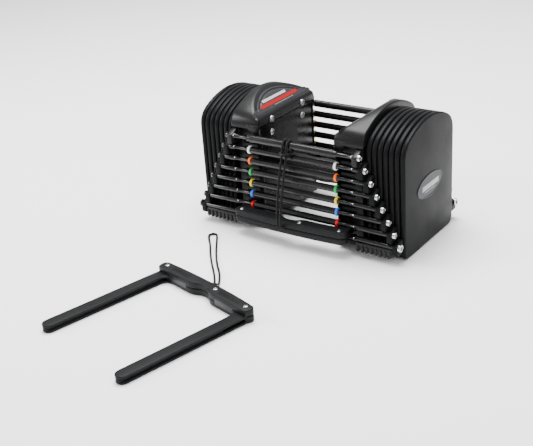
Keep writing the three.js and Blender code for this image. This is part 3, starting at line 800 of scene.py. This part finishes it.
# ------------------------------------------------------------------ end badges
# Oval plastic badges pressed into the outermost plates, with a raised rim and a plain pale bar.
oval_z, oval_half_y, oval_half_z = 78.6, 34, 15
oval_line = ((151.8, -0.4), (152.5, -0.3), (153, 0.3), (153.1, 0.9),
             (152.9, 1.5), (152.55, 1.8), (152.6, 3), (152.75, 9))
badge_grey = grained("badge_grey", (0.022, 0.024, 0.027), (0.3, 0.42), 1500, 0.02, dust=0.1)
for side, word in ((-1, "left"), (1, "right")):
    mesh = bmesh.new()
    rings = [[here(side * x, (oval_half_y - inset) * math.cos(a),
                   oval_z + (oval_half_z - inset) * math.sin(a))
              for a in (2 * math.pi * i / 72 for i in range(72))]
             for x, inset in oval_line]
    loft(mesh, rings)
    piece(f"end_badge_{word}_oval", mesh, badge_grey, "outer_pair", [f"end_badge_{word}"])
    mesh = bmesh.new()
    for y_from, y_to, low, high in ((-22, 22, -3.4, 3.4), (-16, 12, -6.4, -5.6)):
        y0, y1 = sorted((side * y_from, side * y_to))
        rings = []
        for x, inset in ((152.5, 0), (152.95, 0), (153.05, 0.15)):
            rings.append([here(side * x, y, oval_z + z) for y, z in (
                (y0 + inset, low + inset), (y1 - inset, low + inset),
                (y1 + side * 1.2 - inset, high - inset), (y0 + side * 1.2 + inset, high - inset))])
        loft(mesh, rings)
    piece(f"end_mark_{word}", mesh, mark_pale, "outer_pair")


# ------------------------------------------------------------------ selector pins
# Two moulded halves of slate grey nylon, screwed together at a mid seam. The handle has a thumb notch
# and two magnets that hold it to the rail; the prongs are grooved down their sides, and open near
# the handle. The spare one lies upside down on its flat face.
pin_nylon = grained("pin_nylon", (0.006, 0.0068, 0.0072), (0.4, 0.56), 800, 0.14, dust=0.15, shine=0.12)
magnet_steel = steel("magnet_steel", (0.06, 0.06, 0.062), 0.5)
thick, prong_thick, flange = 16.8, 9.7, 2.8
prong_x, prong_half, web_half, tip_y, window_end = 74, 8, 5.5, 85, -52
pin_back, pin_front, pin_bow, pin_edge = -82, -97, -100, 84
seam, corner_round, notch_deep, fillet, root_deep = 0.2, 7, 7, 9, 3
ridge_lines, ridge_tall = (-88.3, -90.5, -92.7), 0.35
screw_rise = 0.65
screw_places = ((-74, -90.5), (17, -92.5), (74, -90.5))
screw_line = ((-3, 2.7), (0.05, 2.9), (0.4, 2.6), (0.65, 2), (0.7, 1.5), (0.5, 1.35), (-0.6, 1.2))
zero_shift = Matrix.Translation(here(0, 0, 0))
pin_places = {
    "pin": Matrix.Translation((0, 0, (level_z[6] + level_z[7] + prong_thick) / 2 * MM)),
    "spare": (Matrix.Translation((-34 * MM, -340 * MM, 0)) @ Matrix.Rotation(math.radians(166), 4, "Z")
              @ Matrix.Rotation(math.pi, 4, "Y")),
}


def curve_points(a, b, c, d, steps=12):
    """Points along a cubic curve, without its last one."""
    a, b, c, d = (Vector(p) for p in (a, b, c, d))
    return [a * (1 - t) ** 3 + b * 3 * t * (1 - t) ** 2 + c * 3 * t * t * (1 - t) + d * t ** 3
            for t in (i / steps for i in range(steps))]


def handle_outline():
    """The handle seen from above: straight back with a thumb notch, rounded corners and bowed front."""
    inner, notch = prong_x - prong_half, pin_back - notch_deep
    r = corner_round
    line = [(pin_edge - r + r * math.cos(a), pin_front + r - r * math.sin(a))
            for a in (math.pi / 2 * i / 6 for i in range(7))]
    line += curve_points(line.pop(), (30, pin_bow - 1), (-30, pin_bow - 1), (r - pin_edge, pin_front), 20)
    line += [(r - pin_edge - r * math.sin(a), pin_front + r - r * math.cos(a))
             for a in (math.pi / 2 * i / 6 for i in range(7))]
    line += [(-82, pin_back), (-inner - 1, pin_back)]
    line += curve_points((-24, pin_back), (-12, pin_back), (-12, notch), (0, notch))
    line += curve_points((0, notch), (12, notch), (12, pin_back), (24, pin_back))
    line += [(24, pin_back), (inner + 1, pin_back), (82, pin_back)]
    return [tuple(p) for p in line]


def prong_outline(side, half, start):
    """A prong seen from above, with its round tip."""
    tip = tip_y - half
    line = [(prong_x + half, start)]
    line += [(prong_x + half * math.cos(a), tip + half * math.sin(a))
             for a in (math.pi * i / 14 for i in range(15))]
    line += [(prong_x - half, start)]
    return [(side * x, y) for x, y in line]


def fillet_outline(side):
    """The web between a prong's inner side and the handle's back, rounded into the corner."""
    inner = prong_x - prong_half
    line = [(inner + root_deep, pin_back - root_deep), (inner - fillet, pin_back - root_deep),
            (inner - fillet, pin_back)]
    line += [(inner - fillet + fillet * math.sin(a), pin_back + fillet - fillet * math.cos(a))
             for a in (math.pi / 2 * i / 6 for i in range(1, 7))]
    line += [(inner + root_deep, pin_back + fillet)]
    return [(side * x, y) for x, y in line]


for prefix, place in pin_places.items():
    turned_over = prefix == "spare"
    body = "spare_pin" if turned_over else "pin"
    to_place = zero_shift @ place @ zero_shift.inverted()
    for upper in (True, False):
        mesh = bmesh.new()
        low, high = (-thick / 2 + seam, 0) if upper else (-thick, -thick / 2 - seam)
        prism(mesh, handle_outline(), "z", low, high, 1.3, 3)
        middle = prong_thick / 2
        skin = (-flange, 0) if upper else (-prong_thick, flange - prong_thick)
        web = (-middle + 0.15, 0.3 - flange) if upper else (flange - prong_thick - 0.3, -middle - 0.15)
        for side in (-1, 1):
            prism(mesh, prong_outline(side, prong_half, pin_back - root_deep), "z", *skin, 0.9)
            prism(mesh, fillet_outline(side), "z", skin[0] + 0.02, skin[1] - 0.02, 0.5, 2)
            prism(mesh, prong_outline(side, web_half, window_end), "z", *web, 0.2, 1)
        for low_x, high_x in ((-62, -30), (26, 62)):
            top = -thick + 0.3
            if upper:
                top = -0.05 if turned_over else ridge_tall
            for y in ridge_lines:
                block(mesh, (low_x, y - 0.6, top - 0.8), (high_x, y + 0.6, top), 0.3, 2)
        bmesh.ops.transform(mesh, matrix=to_place, verts=mesh.verts)
        half = "upper" if upper else "lower"
        piece(f"{prefix}_{half}_half", mesh, pin_nylon, body, [f"{prefix}_{half}_shell"])
    for side, word in ((-1, "left"), (1, "right")):
        mesh = bmesh.new()
        x = sorted((side * 27, side * 60))
        block(mesh, (x[0], pin_back - root_deep, -12.4), (x[1], pin_back + 0.15, -4.4), 0.9)
        bmesh.ops.transform(mesh, matrix=to_place, verts=mesh.verts)
        piece(f"{prefix}_magnet_bar_{word}", mesh, magnet_steel, body,
              [f"{prefix}_magnet_{word}"])
    for n, (x, y) in enumerate(screw_places, 1):
        mesh = bmesh.new()
        faces = ((1, -screw_rise), (-1, -thick)) if turned_over else ((1, 0), (-1, screw_rise - thick))
        for up, face in faces:
            loft(mesh, [[here(x + r * math.cos(a), y + r * math.sin(a), face + up * off)
                         for a in (2 * math.pi * i / 24 for i in range(24))] for off, r in screw_line])
        bmesh.ops.transform(mesh, matrix=to_place, verts=mesh.verts)
        piece(f"{prefix}_screw_{n}_heads", mesh, chrome, body,
              [f"{prefix}_screw_{n}"], sharp=30)
